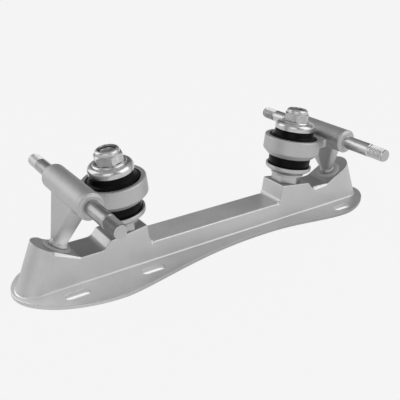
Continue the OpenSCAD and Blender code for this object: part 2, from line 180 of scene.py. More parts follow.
def addSkyRamp(tree):
    ramp = addNode(tree, "ShaderNodeValToRGB")
    stops = ramp.color_ramp.elements
    stops[0].position = studio["sky"][0][0]
    stops[1].position = studio["sky"][-1][0]
    for position, level in studio["sky"][1:-1]:
        stops.new(position)
    for stop, (position, level) in zip(stops, studio["sky"]):
        stop.color = grey(level)
    return ramp


def makeWorld():
    world = bpy.data.worlds.new("studioWorld")
    bpy.context.scene.world = world
    world.use_nodes = True
    tree = world.node_tree
    tree.nodes.clear()
    direction = addNode(tree, "ShaderNodeTexCoord")
    split = addNode(tree, "ShaderNodeSeparateXYZ")
    ramp = addSkyRamp(tree)
    # a dark flag behind the object, which the flat tops mirror
    facing = addNode(tree, "ShaderNodeVectorMath", operation="DOT_PRODUCT")
    facing.inputs[1].default_value = Vector(studio["flagFrom"]).normalized()
    spread = addNode(tree, "ShaderNodeMapRange", interpolation_type="SMOOTHSTEP")
    spread.inputs["From Min"].default_value, spread.inputs["From Max"].default_value = studio["flagEdge"]
    flagged = addNode(tree, "ShaderNodeMix", data_type="RGBA")
    flagged.inputs[mixSocket["second"]].default_value = grey(studio["flag"])
    # the camera itself sees the plain backdrop
    path = addNode(tree, "ShaderNodeLightPath")
    chosen = addNode(tree, "ShaderNodeMix", data_type="RGBA")
    chosen.inputs[mixSocket["second"]].default_value = grey(studio["backdrop"])
    background = addNode(tree, "ShaderNodeBackground")
    output = addNode(tree, "ShaderNodeOutputWorld")
    tree.links.new(direction.outputs["Generated"], split.inputs[0])
    tree.links.new(split.outputs["Z"], ramp.inputs[0])
    tree.links.new(path.outputs["Is Camera Ray"], chosen.inputs[mixSocket["factor"]])
    tree.links.new(direction.outputs["Generated"], facing.inputs[0])
    tree.links.new(facing.outputs["Value"], spread.inputs["Value"])
    tree.links.new(spread.outputs["Result"], flagged.inputs[mixSocket["factor"]])
    tree.links.new(ramp.outputs["Color"], flagged.inputs[mixSocket["first"]])
    tree.links.new(flagged.outputs[mixSocket["result"]], chosen.inputs[mixSocket["first"]])
    tree.links.new(chosen.outputs[mixSocket["result"]], background.inputs["Color"])
    tree.links.new(background.outputs[0], output.inputs["Surface"])


def makeSoftboxes():
    for name, (direction, distance, size, power) in softboxes.items():
        lamp = bpy.data.lights.new(name, "AREA")
        lamp.shape = "SQUARE"
        lamp.size = size
        lamp.energy = power
        box = bpy.data.objects.new(name, lamp)
        away = Vector(direction).normalized()
        box.location = Vector(studio["aim"]) + away * distance
        box.rotation_euler = away.to_track_quat("Z", "Y").to_euler()
        bpy.context.scene.collection.objects.link(box)


makeCamera()
makeFloor()
makeWorld()
makeSoftboxes()
bpy.context.scene.view_settings.view_transform = "Standard"
print("studio: camera, floor and softboxes placed")


# Finishes

noises = {"grain": (3.0, 0.6), "wave": (2.0, 0.5), "cloud": (4.0, 0.62)}   # detail and roughness
grainHeight = 0.45   # height of the grain beside the waves


def newGroup(name, inputs, outputs):
    group = bpy.data.node_groups.new(name, "ShaderNodeTree")
    for label, kind, value in inputs:
        socket = group.interface.new_socket(label, in_out="INPUT", socket_type=kind)
        if value is not None:
            socket.default_value = value
    for label, kind in outputs:
        group.interface.new_socket(label, in_out="OUTPUT", socket_type=kind)
    return group, addNode(group, "NodeGroupInput"), addNode(group, "NodeGroupOutput")


def mathNode(tree, operation, first, second):
    node = addNode(tree, "ShaderNodeMath", operation=operation)
    for socket, value in zip(node.inputs, (first, second)):
        if isinstance(value, (int, float)):
            socket.default_value = value
        else:
            tree.links.new(value, socket)
    return node.outputs[0]


def noise(tree, kind, vector, scale):
    node = addNode(tree, "ShaderNodeTexNoise")
    node.inputs["Detail"].default_value, node.inputs["Roughness"].default_value = noises[kind]
    tree.links.new(vector, node.inputs["Vector"])
    tree.links.new(scale, node.inputs["Scale"])
    return node.outputs["Fac"]


def buildGrain():
    # fine grain, slow waves and cloudy tone of a surface
    group, given, result = newGroup(
        "surfaceGrain",
        [("Vector", "NodeSocketVector", None), ("Grain Scale", "NodeSocketFloat", 1500.0),
         ("Wave Scale", "NodeSocketFloat", 180.0), ("Cloud Scale", "NodeSocketFloat", 40.0)],
        [("Height", "NodeSocketFloat"), ("Grain", "NodeSocketFloat"), ("Cloud", "NodeSocketFloat")])
    vector = given.outputs["Vector"]
    grain = noise(group, "grain", vector, given.outputs["Grain Scale"])
    wave = noise(group, "wave", vector, given.outputs["Wave Scale"])
    cloud = noise(group, "cloud", vector, given.outputs["Cloud Scale"])
    height = mathNode(group, "ADD", mathNode(group, "MULTIPLY", grain, grainHeight), wave)
    group.links.new(height, result.inputs["Height"])
    group.links.new(grain, result.inputs["Grain"])
    group.links.new(cloud, result.inputs["Cloud"])
    return group


def buildTone():
    # a colour made lighter and darker by a value round one half
    group, given, result = newGroup(
        "toneDrift",
        [("Color", "NodeSocketColor", (0.5, 0.5, 0.5, 1)), ("Value", "NodeSocketFloat", 0.5),
         ("Strength", "NodeSocketFloat", 0.1)],
        [("Color", "NodeSocketColor")])
    centred = mathNode(group, "SUBTRACT", given.outputs["Value"], 0.5)
    drift = mathNode(group, "ADD", mathNode(group, "MULTIPLY", centred, given.outputs["Strength"]), 1.0)
    scaled = addNode(group, "ShaderNodeVectorMath", operation="SCALE")
    group.links.new(given.outputs["Color"], scaled.inputs[0])
    group.links.new(drift, scaled.inputs["Scale"])
    group.links.new(scaled.outputs["Vector"], result.inputs["Color"])
    return group


grainGroup = buildGrain()
toneGroup = buildTone()


def placeGroup(tree, group, values):
    node = addNode(tree, "ShaderNodeGroup", node_tree=group)
    for label, value in values.items():
        if isinstance(value, bpy.types.NodeSocket):
            tree.links.new(value, node.inputs[label])
        else:
            node.inputs[label].default_value = value
    return node


def drifted(tree, colour, value, strength):
    values = {"Color": colour, "Value": value, "Strength": strength}
    return placeGroup(tree, toneGroup, values).outputs["Color"]


def finish(name, look):
    # one finish: grain in the normal, clouds in colour and roughness
    material = bpy.data.materials.new(name)
    material.use_nodes = True
    tree = material.node_tree
    shader = tree.nodes["Principled BSDF"]
    shader.inputs["Metallic"].default_value = look["metallic"]
    shader.inputs["IOR"].default_value = look.get("ior", 1.45)
    shader.inputs["Specular IOR Level"].default_value = look.get("specular", 0.5)
    place = addNode(tree, "ShaderNodeTexCoord").outputs["Object"]
    stretch = addNode(tree, "ShaderNodeMapping")
    stretch.inputs["Scale"].default_value = look.get("stretch", (1, 1, 1))
    tree.links.new(place, stretch.inputs["Vector"])
    grain = placeGroup(tree, grainGroup, {
        "Vector": stretch.outputs["Vector"], "Grain Scale": look["grainScale"],
        "Wave Scale": look["waveScale"], "Cloud Scale": look["cloudScale"]})
    colour = drifted(tree, grey(look["grey"]), grain.outputs["Cloud"], look["cloud"])
    colour = drifted(tree, colour, grain.outputs["Grain"], look["speckle"])
    if "paintedShading" in look:
        # painted shading: above 0 the attribute paints shade that darkens a casting, and below 0 it paints
        # light that makes it lighter and more matt
        paintedShading = addNode(tree, "ShaderNodeAttribute", attribute_name="paintedShading").outputs["Fac"]
        colour = drifted(tree, colour, mathNode(tree, "SUBTRACT", 0.5, paintedShading), look["paintedShading"])
        if "matt" in look:
            change = mathNode(tree, "MULTIPLY", paintedShading, look["matt"])
            tree.links.new(mathNode(tree, "ADD", change, look["metallic"]), shader.inputs["Metallic"])
    tree.links.new(colour, shader.inputs["Base Color"])
    change = mathNode(tree, "MULTIPLY", grain.outputs["Cloud"], look["roughDrift"])
    rough = mathNode(tree, "ADD", change, look["roughness"] - look["roughDrift"] / 2)
    tree.links.new(rough, shader.inputs["Roughness"])
    bump = addNode(tree, "ShaderNodeBump")
    bump.inputs["Strength"].default_value = look["bump"]
    bump.inputs["Distance"].default_value = look["depth"] * mm
    tree.links.new(grain.outputs["Height"], bump.inputs["Height"])
    tree.links.new(bump.outputs["Normal"], shader.inputs["Normal"])
    return material


# the milled strength sets how far painted shade and painted light change a casting's colour
castLook = {
    "grey": 0.55, "metallic": 0.95, "roughness": 0.46, "roughDrift": 0.10,
    "grainScale": 1500.0, "waveScale": 160.0, "cloudScale": 38.0,
    "cloud": 0.30, "speckle": 0.25, "bump": 0.35, "depth": 0.10, "paintedShading": 0.28,
}
axleLook = {
    "grey": 0.54, "metallic": 1.0, "roughness": 0.30, "roughDrift": 0.24,
    "grainScale": 1100.0, "waveScale": 300.0, "cloudScale": 220.0, "stretch": (1, 0.35, 1),
    "cloud": 0.90, "speckle": 0.40, "bump": 0.2, "depth": 0.06,
}
threadLook = {
    "grey": 0.17, "metallic": 1.0, "roughness": 0.40, "roughDrift": 0.20,
    "grainScale": 1400.0, "waveScale": 500.0, "cloudScale": 260.0,
    "cloud": 0.80, "speckle": 0.40, "bump": 0.2, "depth": 0.05,
}
looks = {
    "blastedCasting": castLook,
    "hangerCasting": {**castLook, "grey": 0.48, "roughness": 0.52, "matt": 0.26},
    "machinedSeat": {
        "grey": 0.47, "metallic": 0.95, "roughness": 0.38, "roughDrift": 0.12,
        "grainScale": 1300.0, "waveScale": 200.0, "cloudScale": 60.0,
        "cloud": 0.25, "speckle": 0.15, "bump": 0.2, "depth": 0.08},
    "platedSteel": {
        "grey": 0.54, "metallic": 1.0, "roughness": 0.24, "roughDrift": 0.16,
        "grainScale": 900.0, "waveScale": 240.0, "cloudScale": 150.0,
        "cloud": 0.70, "speckle": 0.2, "bump": 0.16, "depth": 0.10},
    "nutSteel": {
        "grey": 0.54, "metallic": 1.0, "roughness": 0.31, "roughDrift": 0.20,
        "grainScale": 900.0, "waveScale": 300.0, "cloudScale": 210.0,
        "cloud": 1.1, "speckle": 0.3, "bump": 0.22, "depth": 0.10},
    "rearAxleSteel": axleLook,
    # painted shade: the front axle is a darker copy of the rear axle's steel
    "frontAxleSteel": {**axleLook, "grey": 0.35},
    # painted shade: the core between the thread's ridges is painted almost black
    "threadRootShade": {**threadLook, "grey": 0.06, "roughDrift": 0.10, "cloud": 0.40, "bump": 0.1},
    # painted shade and light: a shaded and a lit copy of one thread steel
    "shadedThread": threadLook,
    "litThread": {**threadLook, "grey": 0.55, "roughness": 0.36},
    "cushionRubber": {
        "grey": 0.002, "metallic": 0.0, "roughness": 0.30, "roughDrift": 0.15, "specular": 0.09, "ior": 1.5,
        "grainScale": 900.0, "waveScale": 160.0, "cloudScale": 90.0,
        "cloud": 0.6, "speckle": 0.2, "bump": 0.15, "depth": 0.10},
    "cupPlastic": {
        "grey": 0.36, "metallic": 0.0, "roughness": 0.45, "roughDrift": 0.1,
        "grainScale": 1200.0, "waveScale": 220.0, "cloudScale": 80.0,
        "cloud": 0.2, "speckle": 0.1, "bump": 0.15, "depth": 0.08},
    "nutNylon": {
        "grey": 0.06, "metallic": 0.0, "roughness": 0.40, "roughDrift": 0.1,
        "grainScale": 1200.0, "waveScale": 300.0, "cloudScale": 120.0,
        "cloud": 0.3, "speckle": 0.1, "bump": 0.15, "depth": 0.06},
}
finishes = {name: finish(name, look) for name, look in looks.items()}
print("finishes:", ", ".join(finishes))


# Modelling helpers

def meshPiece(name, bm, material):
    mesh = bpy.data.meshes.new(name)
    bm.to_mesh(mesh)
    bm.free()
    mesh.materials.append(finishes[material])
    piece = bpy.data.objects.new(name, mesh)
    bpy.context.scene.collection.objects.link(piece)
    return piece


def scrapMesh(bm):
    mesh = bpy.data.meshes.new("scrap")
    bm.to_mesh(mesh)
    bm.free()
    return mesh


def addMesh(bm, mesh):
    bm.from_mesh(mesh)
    bpy.data.meshes.remove(mesh)


def seat(piece, body, slot, *replaced):
    if replaced:
        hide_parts(*replaced)
    if body:
        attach(piece, body)
    return piece


def nodeCopy(node):
    bm = bmesh.new()
    bm.from_mesh(nodes[node].data)
    bmesh.ops.remove_doubles(bm, verts=bm.verts, dist=weldDistance)
    return bm


def addStep(piece, name, kind, **settings):
    step = piece.modifiers.new(name, kind)
    for key, value in settings.items():
        setattr(step, key, value)


def settledMesh(piece):
    # what the piece's modifiers give, and the modifiers are taken off
    mesh = bpy.data.meshes.new_from_object(piece.evaluated_get(bpy.context.evaluated_depsgraph_get()))
    piece.modifiers.clear()
    return mesh


def smoothShade(bm, sharpAngle):
    for face in bm.faces:
        face.smooth = True
    for edge in bm.edges:
        edge.smooth = len(edge.link_faces) == 2 and edge.calc_face_angle(0) < math.radians(sharpAngle)


def closeUp(bm):
    bmesh.ops.remove_doubles(bm, verts=bm.verts, dist=weldDistance)
    bmesh.ops.recalc_face_normals(bm, faces=bm.faces)


def lathe(bm, profile, closed, steps=96):
    # turns a half profile of (radius, height) in millimetres about the local Z
    points = [bm.verts.new((r * mm, 0, h * mm)) for r, h in profile]
    pairs = list(zip(points, points[1:]))
    if closed:
        pairs.append((points[-1], points[0]))
    lines = [bm.edges.new(pair) for pair in pairs]
    bmesh.ops.spin(bm, geom=points + lines, cent=(0, 0, 0), axis=(0, 0, 1), angle=fullTurn, steps=steps,
                   use_merge=True)


def latheTurned(profile, place, sharpAngle, closed=True):
    bm = bmesh.new()
    lathe(bm, profile, closed)
    closeUp(bm)
    smoothShade(bm, sharpAngle)
    bm.transform(place)
    return bm


def corner(a, b, c, radius, steps=6):
    # points of the arc that rounds the corner at b
    a, b, c = Vector(a), Vector(b), Vector(c)
    u, v = (a - b).normalized(), (c - b).normalized()
    half = math.acos(max(-1, min(1, u.dot(v)))) / 2
    centre = b + (u + v).normalized() * radius / math.sin(half)
    start, stop = b + u * radius / math.tan(half) - centre, b + v * radius / math.tan(half) - centre
    return [tuple(centre + start.lerp(stop, i / steps).normalized() * radius) for i in range(steps + 1)]


def rounded(profile):
    # rounds each inner point of (radius, height, rounding)
    points = [profile[0][:2]]
    for before, here, after in zip(profile, profile[1:], profile[2:]):
        points += corner(before[:2], here[:2], after[:2], here[2]) if here[2] else [here[:2]]
    return points + [profile[-1][:2]]


def roundedRing(profile):
    # the same for a closed section, whose last point joins the first
    return rounded(profile + profile[:1])[:-1]


# Castings: the frame's own solids, with the soft inner and outer corners that casting gives

casting = {
    "plate": {"look": "blastedCasting", "voxel": 0.32, "fillet": 0.6, "share": 0.30},
    "hanger": {"look": "hangerCasting", "voxel": 0.27, "fillet": 1.4, "share": 0.42},
    "smoothing": 3, "smoothFactor": 0.5, "sink": 0.05,
}
broadEdges = (   # places along the plate's top edges as (x, z, width of the chamfer)
    ((-107.5, 26.275, 0.2), (-105.0, 25.0, 1.65), (-91.2, 17.978, 0.8)),
    ((-49.6, 16.45, 0.3), (-48.22, 14.76, 1.7), (-46.0, 14.3, 0.3)),
    ((42.5, 14.3, 0.3), (44.72, 14.76, 1.7), (46.1, 16.45, 0.3)),
    ((74.6, 18.0, 1.2), (76.0, 18.0, 1.8), (87.2, 18.0, 0.9)),
)
# painted highlight: the broad chamfers are painted lighter where their faces turn up and out
broadZone = {"fromY": 7.5, "fromZ": 13.0, "up": 0.3, "out": 0.3, "shift": -0.7}

paintedShadingZone = {   # where a zone of painted shading ends, and pairs of (x, how far painted shade darkens it, or how far painted light lightens it below 0)
    "flangeTop": 3.2, "beamTop": 15.0, "rimY": 14.0, "upward": 0.8, "rimWidth": 0.3,
    "flange": ((-120, -2.6), (-75, -0.95), (-30, 0.0), (0, 0.45), (50, 0.10), (105, 0.0)),
    "rim": ((-95, 0.0), (-50, 1.0), (120, 1.5)),
    "beam": ((-45, -1.9), (5, -1.4), (45, -0.3)),
    "top": ((0, 1.0),),
}
armPaintedHighlight = {"top": 37.0, "height": 9.0, "steep": 0.3, "spread": 0.6, "shift": -3.4}   # painted highlight on the front arm


def alongTable(table, x):
    # value between the pairs of a table
    for (a, low), (b, high) in zip(table, table[1:]):
        if x < b:
            return low + (high - low) * max(0.0, (x - a) / (b - a))
    return table[-1][1]


# painted shading of the plate: upward tops are painted darker, beam tops and the broad chamfers lighter, the
# flange lighter towards the toe, and the sole's rim darker
def platePaintedShading(place, normal):
    x, y, z = (c / mm for c in place)
    upward = normal.z > paintedShadingZone["upward"]
    beside = abs(y) > broadZone["fromY"] and z > broadZone["fromZ"]
    if beside and any(edge[0][0] < x < edge[-1][0] for edge in broadEdges):
        if normal.z > broadZone["up"] and abs(normal.y) > broadZone["out"]:
            return broadZone["shift"]
    if z < paintedShadingZone["flangeTop"]:
        if abs(y) > halfWidth(x) - paintedShadingZone["rimWidth"]:
            return alongTable(paintedShadingZone["rim"], x)
        return alongTable(paintedShadingZone["flange"], x) if upward else 0.0
    if not upward:
        return 0.0
    return alongTable(paintedShadingZone["beam" if z < paintedShadingZone["beamTop"] else "top"], x)


def frontArmPaintedHighlight(place, normal):
    # painted highlight: the steep sides of the front arm are painted lighter towards its foot
    near = max(0.0, min(1.0, (armPaintedHighlight["top"] - place.z / mm) / armPaintedHighlight["height"]))
    return armPaintedHighlight["shift"] * near * max(0.0, min(1.0, (armPaintedHighlight["steep"] - normal.z) / armPaintedHighlight["spread"]))


def noPaintedShading(place, normal):
    return 0.0


def asCast(vert):
    pass


def castPiece(name, bm, crispParts, kind, shadingPainter, reshape=asCast):
    # inner corners are filled by growing and shrinking a copy, and the sharp solid is laid over it
    grade = casting[kind]
    voxels = {"mode": "VOXEL", "voxel_size": grade["voxel"] * mm}
    piece = meshPiece(name, bm, grade["look"])
    final = piece.data
    addStep(piece, "remesh", "REMESH", **voxels)
    addStep(piece, "grow", "DISPLACE", mid_level=0, strength=grade["fillet"] * mm)
    addStep(piece, "remesh again", "REMESH", **voxels)
    addStep(piece, "shrink", "DISPLACE", mid_level=0, strength=-(grade["fillet"] + casting["sink"]) * mm)
    filled = settledMesh(piece)
    both = bmesh.new()
    both.from_mesh(final)
    addMesh(both, filled)
    both.to_mesh(final)
    both.free()
    addStep(piece, "join", "REMESH", **voxels)
    addStep(piece, "smooth", "SMOOTH", iterations=casting["smoothing"], factor=casting["smoothFactor"])
    even = settledMesh(piece)
    piece.data = even
    for vert in even.vertices:
        reshape(vert)
    addStep(piece, "thin", "DECIMATE", ratio=grade["share"])
    soft = settledMesh(piece)
    piece.data = final
    bpy.data.meshes.remove(even)
    whole = bmesh.new()
    addMesh(whole, soft)
    for face in whole.faces:
        face.smooth = True
    for part in crispParts:
        addMesh(whole, part)
    # each vertex gets its painted shade, or its painted light below 0
    paintedShading = whole.verts.layers.float.new("paintedShading")
    for vert in whole.verts:
        vert[paintedShading] = shadingPainter(vert.co, vert.normal)
    whole.to_mesh(final)
    whole.free()
    print("casting:", name, len(final.polygons), "faces")
    return piece


# The plate: a crisp sole flange round the softer spine with its pods and blocks

plate = {
    "length": 253.5, "ballX": -75.75, "waistX": 24.5, "heelX": 91.75,
    "ballWidth": 63.6, "waistWidth": 34.2, "heelWidth": 49.8, "toeFullness": 2.0, "heelFullness": 1.66,
    "waistEase": 0.71, "heelEase": 1.25,
    "rootThickness": 2.6, "rootHalf": 10.0, "fall": 1.5, "tipFall": 3.0, "tipFallLength": 10.0,
    "edgeRounding": 0.4, "roundingSteps": 2, "outlineSteps": 40, "proud": 0.04, "flatNormal": 0.98,
    "slotX": (-98.15, -53.05, 94.15), "slotGauge": 36.8, "slotLength": 14.0, "slotWidth": 5.0,
    "slotSteps": 14,
    "openX": (-117.0, 113.0), "openHalf": 8.8, "spineHalf": 12.5, "spineX": (-126.1, 124.0),
    "topEdge": 0.5, "topEdgeAbove": 12.5, "topEdgeAngle": 35, "topEdgeNear": 0.02,
}
blockRoot = {   # places as (x, z)
    "floor": (-86.0, 18.0), "corner": (-77.25, 18.0), "slope": (-73.83, 22.23),
    "radius": 5.0, "steps": 10, "half": 9.75, "sunk": 0.5,
}


def ease(t):
    return (1 - math.cos(math.pi * t)) / 2


def halfWidth(x):
    p = plate
    half = p["length"] / 2
    if x < p["ballX"]:
        t = min(1.0, (p["ballX"] - x) / (p["ballX"] + half))
        return p["ballWidth"] / 2 * (1 - t ** p["toeFullness"]) ** (1 / p["toeFullness"])
    if x < p["waistX"]:
        t = (x - p["ballX"]) / (p["waistX"] - p["ballX"])
        return (p["ballWidth"] + (p["waistWidth"] - p["ballWidth"]) * ease(t ** p["waistEase"])) / 2
    if x < p["heelX"]:
        t = (x - p["waistX"]) / (p["heelX"] - p["waistX"])
        return (p["waistWidth"] + (p["heelWidth"] - p["waistWidth"]) * ease(t ** p["heelEase"])) / 2
    t = min(1.0, (x - p["heelX"]) / (half - p["heelX"]))
    return p["heelWidth"] / 2 * (1 - t ** p["heelFullness"]) ** (1 / p["heelFullness"])


def soleOutline():
    half, steps, ball, heel = plate["length"] / 2, plate["outlineSteps"], plate["ballX"], plate["heelX"]
    places = [ball - (ball + half) * math.cos(math.pi / 2 * i / steps) for i in range(steps)]
    places += [ball + (heel - ball) * i / (2 * steps) for i in range(2 * steps)]
    places += [heel + (half - heel) * math.sin(math.pi / 2 * i / steps) for i in range(steps + 1)]
    return [(x, -halfWidth(x)) for x in places] + [(x, halfWidth(x)) for x in places[-2:0:-1]]


def slotOutline(x, y):
    straight, r = (plate["slotLength"] - plate["slotWidth"]) / 2, plate["slotWidth"] / 2
    steps = plate["slotSteps"]
    angles = [math.pi * (i / steps - 0.5) for i in range(steps + 1)]
    right = [(x + straight + r * math.cos(a), y + r * math.sin(a)) for a in angles]
    return right + [(x - straight - r * math.cos(a), y - r * math.sin(a)) for a in angles]


def soleThickness(x, y):
    side = max(0.0, abs(y) - plate["rootHalf"]) * math.tan(math.radians(plate["fall"]))
    beyond = max(0.0, abs(x) - plate["length"] / 2 + plate["tipFallLength"])
    tip = beyond * math.tan(math.radians(plate["tipFall"]))
    return plate["rootThickness"] + plate["proud"] - max(side, tip)


def bisect(bm, place, normal, **settings):
    return bmesh.ops.bisect_plane(bm, geom=bm.verts[:] + bm.edges[:] + bm.faces[:], dist=cutDistance,
                                  plane_co=place, plane_no=normal, **settings)


def cutAway(bm, place, normal):
    # removes what lies beyond a plane and closes the cut
    made = bisect(bm, place, normal, clear_outer=True)
    rim = [e for e in made["geom_cut"] if isinstance(e, bmesh.types.BMEdge)]
    bmesh.ops.holes_fill(bm, edges=rim, sides=0)


def flatFlange():
    # a flat curve with its slots and its open middle gives the flange its rounded edges
    curve = bpy.data.curves.new("soleCurve", "CURVE")
    curve.dimensions = "2D"
    curve.fill_mode = "BOTH"
    (left, right), wide = plate["openX"], plate["openHalf"]
    lines = [soleOutline(), [(left, -wide), (left, wide), (right, wide), (right, -wide)]]
    lines += [slotOutline(x, side * plate["slotGauge"] / 2) for x in plate["slotX"] for side in bothSides]
    for points in lines:
        spline = curve.splines.new("POLY")
        spline.points.add(len(points) - 1)
        spline.use_cyclic_u = True
        for point, (x, y) in zip(spline.points, points):
            point.co = (x * mm, y * mm, 0, 1)
    rounding = plate["edgeRounding"]
    curve.offset = -rounding * mm
    curve.bevel_depth = rounding * mm
    curve.bevel_resolution = plate["roundingSteps"]
    curve.extrude = (plate["rootThickness"] / 2 - rounding) * mm
    holder = bpy.data.objects.new("soleCurve", curve)
    bpy.context.scene.collection.objects.link(holder)
    flat = settledMesh(holder)
    bpy.data.objects.remove(holder)
    bpy.data.curves.remove(curve)
    return flat


def flangeMesh():
    # the flat flange, cut where its slopes and its painted shading change, with its top laid at the real
    # height
    bm = bmesh.new()
    addMesh(bm, flatFlange())
    bmesh.ops.remove_doubles(bm, verts=bm.verts, dist=weldDistance)
    tipX = plate["length"] / 2 - plate["tipFallLength"]
    for y in (plate["rootHalf"], paintedShadingZone["rimY"]):
        for side in bothSides:
            bisect(bm, Vector((0, side * y, 0)) * mm, (0, 1, 0))
    for x in (-tipX, tipX, *(spot[0] for spot in paintedShadingZone["flange"])):
        bisect(bm, Vector((x, 0, 0)) * mm, (1, 0, 0))
    for vert in bm.verts:
        level = vert.co.z / mm + plate["rootThickness"] / 2
        vert.co.z = level * soleThickness(vert.co.x / mm, vert.co.y / mm) / plate["rootThickness"] * mm
    bmesh.ops.recalc_face_normals(bm, faces=bm.faces)
    for face in bm.faces:
        face.smooth = abs(face.normal.z) < plate["flatNormal"]
    print("flange:", len(bm.faces), "faces")
    return scrapMesh(bm)


def isTopEdge(edge):
    if len(edge.link_faces) != 2 or edge.calc_face_angle(0) < math.radians(plate["topEdgeAngle"]):
        return False
    spots = [(abs(v.co.y) / mm, v.co.z / mm) for v in edge.verts]
    near, above = plate["topEdgeNear"], plate["topEdgeAbove"]
    return all(abs(y - plate["rootHalf"]) < near and z > above for y, z in spots)


def addBlockRoot(bm):
    # the hollow where the front block rises from the valley
    b = blockRoot
    section = corner(b["floor"], b["corner"], b["slope"], b["radius"], b["steps"])
    (stopX, stopZ), (x, z) = section[-1], b["corner"]
    section += [(stopX + b["sunk"], stopZ), (x + b["sunk"], z - b["sunk"]), (section[0][0], z - b["sunk"])]
    count = len(section)
    near = [bm.verts.new((x * mm, -b["half"] * mm, z * mm)) for x, z in section]
    far = [bm.verts.new((x * mm, b["half"] * mm, z * mm)) for x, z in section]
    faces = [bm.faces.new(near), bm.faces.new(far)]
    for i in range(count):
        after = (i + 1) % count
        faces.append(bm.faces.new((near[i], near[after], far[after], far[i])))
    bmesh.ops.recalc_face_normals(bm, faces=faces)


def spineSolid():
    # the plate's middle, with the edges of its top chamfered
    bm = nodeCopy("base_plate")
    for side in bothSides:
        cutAway(bm, (0, side * plate["spineHalf"] * mm, 0), (0, side, 0))
    for x, side in zip(plate["spineX"], (-1, 1)):
        cutAway(bm, (x * mm, 0, 0), (side, 0, 0))
    bmesh.ops.dissolve_limit(bm, angle_limit=flatAngle, verts=bm.verts, edges=bm.edges)
    weight = bm.edges.layers.float.new("bevel_weight_edge")
    for edge in bm.edges:
        edge[weight] = 1 if isTopEdge(edge) else 0
    piece = meshPiece("spineCasting", bm, "blastedCasting")
    addStep(piece, "chamfer", "BEVEL", width=plate["topEdge"] * mm, limit_method="WEIGHT", segments=1,
            use_clamp_overlap=False)
    chamfered = settledMesh(piece)
    bpy.data.meshes.remove(piece.data)   # takes its object with it
    bm = bmesh.new()
    addMesh(bm, chamfered)
    addBlockRoot(bm)
    return bm


def pressEdge(vert):
    # lays the places beyond a broad chamfer down on it
    x, y, z = (c / mm for c in vert.co)
    if abs(y) < broadZone["fromY"] or z < broadZone["fromZ"]:
        return
    for edge in broadEdges:
        for (startX, startZ, startWidth), (stopX, stopZ, stopWidth) in zip(edge, edge[1:]):
            if startX < x <= stopX:
                t = (x - startX) / (stopX - startX)
                along = Vector((stopX - startX, stopZ - startZ)).normalized()
                above = (Vector((x, z)) - Vector((startX, startZ))).dot(Vector((-along.y, along.x)))
                beyond = abs(y) - plate["rootHalf"] + above + startWidth + (stopWidth - startWidth) * t
                if beyond > 0:
                    vert.co += Vector((along.y, -math.copysign(1, y), -along.x)) * beyond / 2 * mm


plateCasting = castPiece("plateCasting", spineSolid(), [flangeMesh()], "plate", platePaintedShading, pressEdge)
seat(plateCasting, "plate", "cast_aluminium", "base_plate")


# The hangers: barrel, ring and arm in one casting, with crisp ends and feet

barrelEnd = {
    "radius": 7.27, "half": 23.8, "rim": 0.5, "rimRounding": 0.12, "bore": 4.22,
    "shoulder": 5.5, "shoulderEnd": 25.0, "shoulderRounding": 0.25,
    "start": 19.6, "sunk": 6.9, "sunkLength": 0.8, "sharpAngle": 30,
}
footFlare = {
    "core": 3.0, "low": 5.87, "radius": 5.0, "rounding": 0.15,
    "taper": 0.1, "swell": 1.5, "swellRounding": 1.5,
    "neck": 4.2, "neckLength": 2.0, "neckRounding": 2.0, "top": 12.0, "sharpAngle": 50,
}


def barrelEndMesh(end, side):
    # the machined end of the barrel, crisp where the casting is soft
    b = barrelEnd
    profile = roundedRing([
        (b["bore"], b["start"], 0), (b["sunk"], b["start"], 0),
        (b["radius"], b["start"] + b["sunkLength"], 0), (b["radius"], b["half"] - b["rim"], b["rimRounding"]),
        (b["radius"] - b["rim"], b["half"], b["rimRounding"]), (b["shoulder"], b["half"], 0),
        (b["shoulder"], b["shoulderEnd"], b["shoulderRounding"]), (b["bore"], b["shoulderEnd"], 0)])
    return scrapMesh(latheTurned(profile, axlePlace(end, side), b["sharpAngle"]))


def footFlareMesh(end):
    # the arm's foot swells just above the pivot cup
    f = footFlare
    profile = roundedRing([
        (f["core"], f["low"], 0), (f["radius"], f["low"], f["rounding"]),
        (f["radius"] - f["taper"], f["low"] + f["swell"], f["swellRounding"]),
        (f["neck"], f["top"] - f["neckLength"], f["neckRounding"]), (f["core"], f["top"], 0)])
    return scrapMesh(latheTurned(profile, pivotPlace(end), f["sharpAngle"]))


for end in ends:
    crisp = [barrelEndMesh(end, side) for side in bothSides] + [footFlareMesh(end)]
    # only the front arm gets a painted highlight
    shadingPainter = frontArmPaintedHighlight if end == "front" else noPaintedShading
    hanger = castPiece(end + "HangerCasting", nodeCopy(end + "_hanger"), crisp, "hanger", shadingPainter)
    seat(hanger, end + "_truck", "cast_aluminium", end + "_hanger")


# Axles, with cut threads at both ends

axle = {
    "seatRadius": 4.0, "pressRadius": 4.2, "half": 55.2, "seatEnd": 43.2, "gripEnd": 25.0, "edge": 0.2,
    "tipRadius": 3.25, "tipLength": 0.3, "tipRounding": 0.15, "tipFinish": 0.4, "runOut": 0.6,
    "crest": 3.85, "root": 3.42, "pitch": 1.058, "threadFrom": 0.5, "threadShort": 0.25,
    "ridge": (0.40, 0.52, 0.92), "ridgeFade": 0.6,   # shares of the pitch
    "ridgeSunk": 0.15, "ridgeSteps": 32,
    "sharpAngle": 35,
}
axleExtras = ("threadRootShade", "shadedThread", "machinedSeat", "litThread")   # finishes after the axle's own


def extraIndex(name):
    return 1 + axleExtras.index(name)


